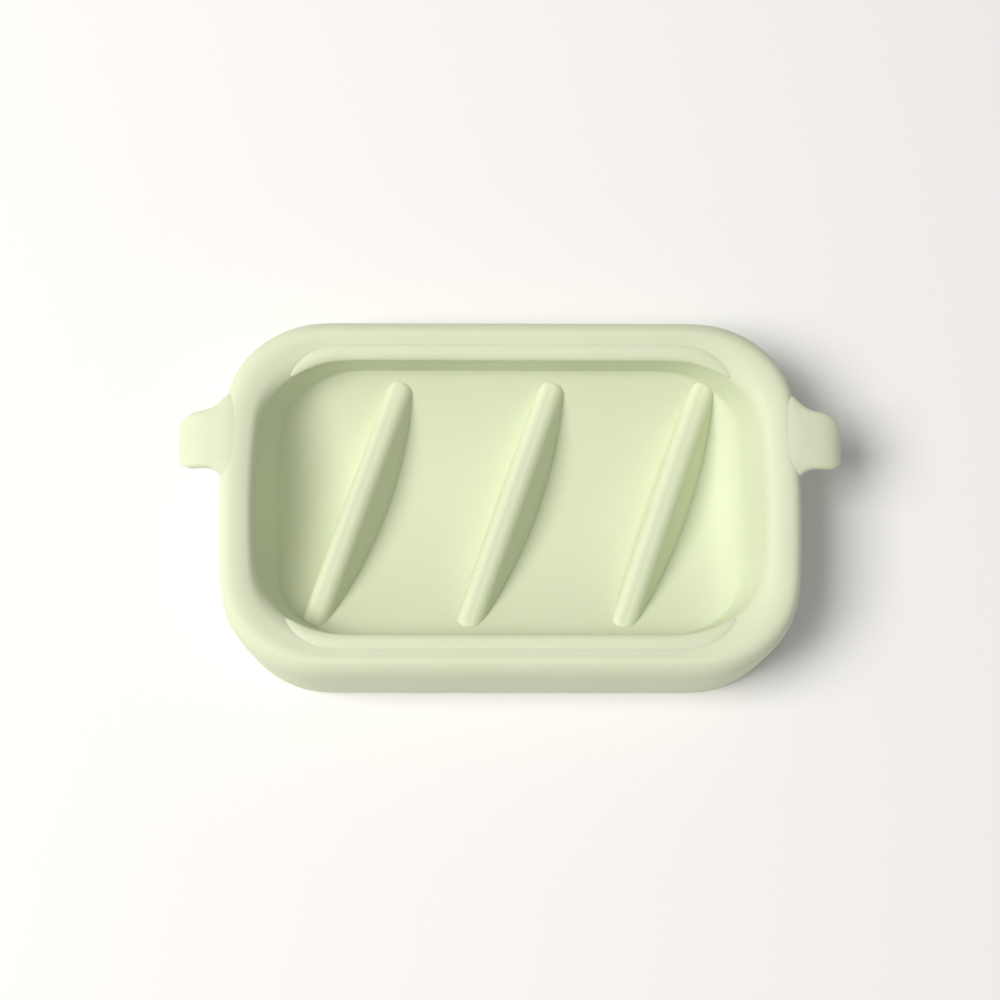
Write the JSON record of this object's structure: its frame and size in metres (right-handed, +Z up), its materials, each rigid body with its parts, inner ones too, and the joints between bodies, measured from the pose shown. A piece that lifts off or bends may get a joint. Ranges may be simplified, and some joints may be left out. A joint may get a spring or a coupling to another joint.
{
  "type": "silicone soap mould",
  "caption": "Soft silicone soap mould with a half-pipe cavity, slanted ribs that press draining grooves into the bar, a rolled rim and pull tabs.",
  "frame": {"origin": "on the surface that the mould stands on, under the middle of the tray", "axes": "+X along the tray, +Y to the long side that the pull tabs are nearer to, +Z up out of the cavity"},
  "size_m": [0.147, 0.0842, 0.024],
  "materials": {
    "silicone": "matte moulded silicone, sage green"
  },
  "bodies": {
    "tray": {"trough_floor": "silicone", "left_end_wall": "silicone", "right_end_wall": "silicone", "skirt": "silicone", "rim_band": "silicone", "back_bead": "silicone", "front_bead": "silicone", "left_rib": "silicone", "middle_rib": "silicone", "right_rib": "silicone"},
    "left_tab": {"left_tab": "silicone"},
    "right_tab": {"right_tab": "silicone"}
  },
  "joints": [
    {"name": "left_tab_bend", "type": "hinge", "parent": "tray", "child": "left_tab", "pos_m": [-0.0652, 0.0127, 0.0214], "axis": [0, 1, 0], "range_deg": [-35, 60], "stiffness_Nm_per_rad": 0.007},
    {"name": "right_tab_bend", "type": "hinge", "parent": "tray", "child": "right_tab", "pos_m": [0.0652, 0.0127, 0.0214], "axis": [0, -1, 0], "range_deg": [-35, 60], "stiffness_Nm_per_rad": 0.007}
  ]
}
